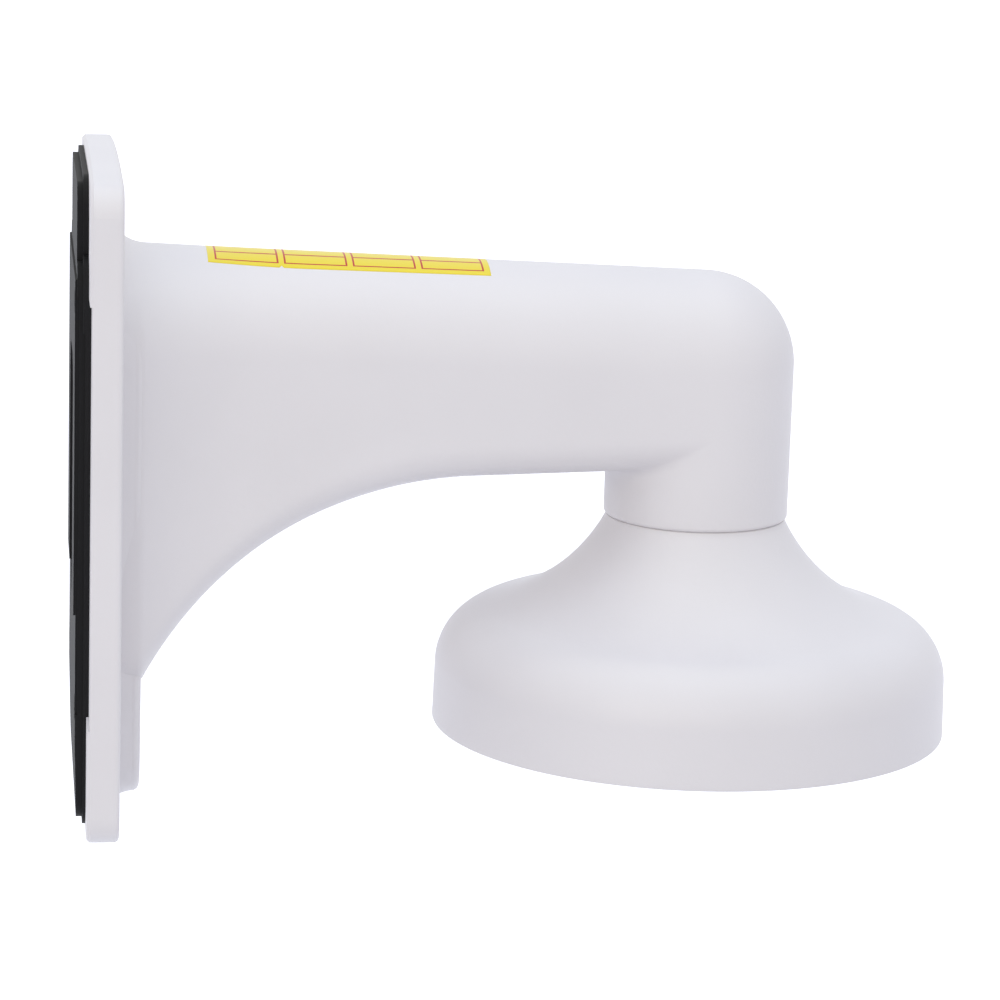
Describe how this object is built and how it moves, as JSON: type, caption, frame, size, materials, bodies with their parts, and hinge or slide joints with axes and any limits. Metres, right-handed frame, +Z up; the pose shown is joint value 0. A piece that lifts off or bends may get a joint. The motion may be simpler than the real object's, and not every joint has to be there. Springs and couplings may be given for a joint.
{
  "type": "wall bracket",
  "caption": "Cantilever wall bracket with a rectangular plate, a hollow arched arm and a round bell that a dome camera is screwed into.",
  "frame": {"origin": "middle of the four wall screws, on the plane of the wall", "axes": "+X out from the wall along the arm, +Z up, +Y to the right of someone who faces the wall"},
  "size_m": [0.2077, 0.122, 0.15],
  "materials": {
    "white_powder_coat": "satin",
    "black_rubber": "matte",
    "zinc_steel": "satin",
    "yellow_vinyl": "satin"
  },
  "bodies": {
    "root": {"arm_casting": "white_powder_coat", "bell_casting": "white_powder_coat", "wall_gasket": "black_rubber", "neck_seal": "black_rubber", "neck_screws": "zinc_steel", "spring_washers": "zinc_steel", "label_strip": "yellow_vinyl"}
  },
  "joints": []
}
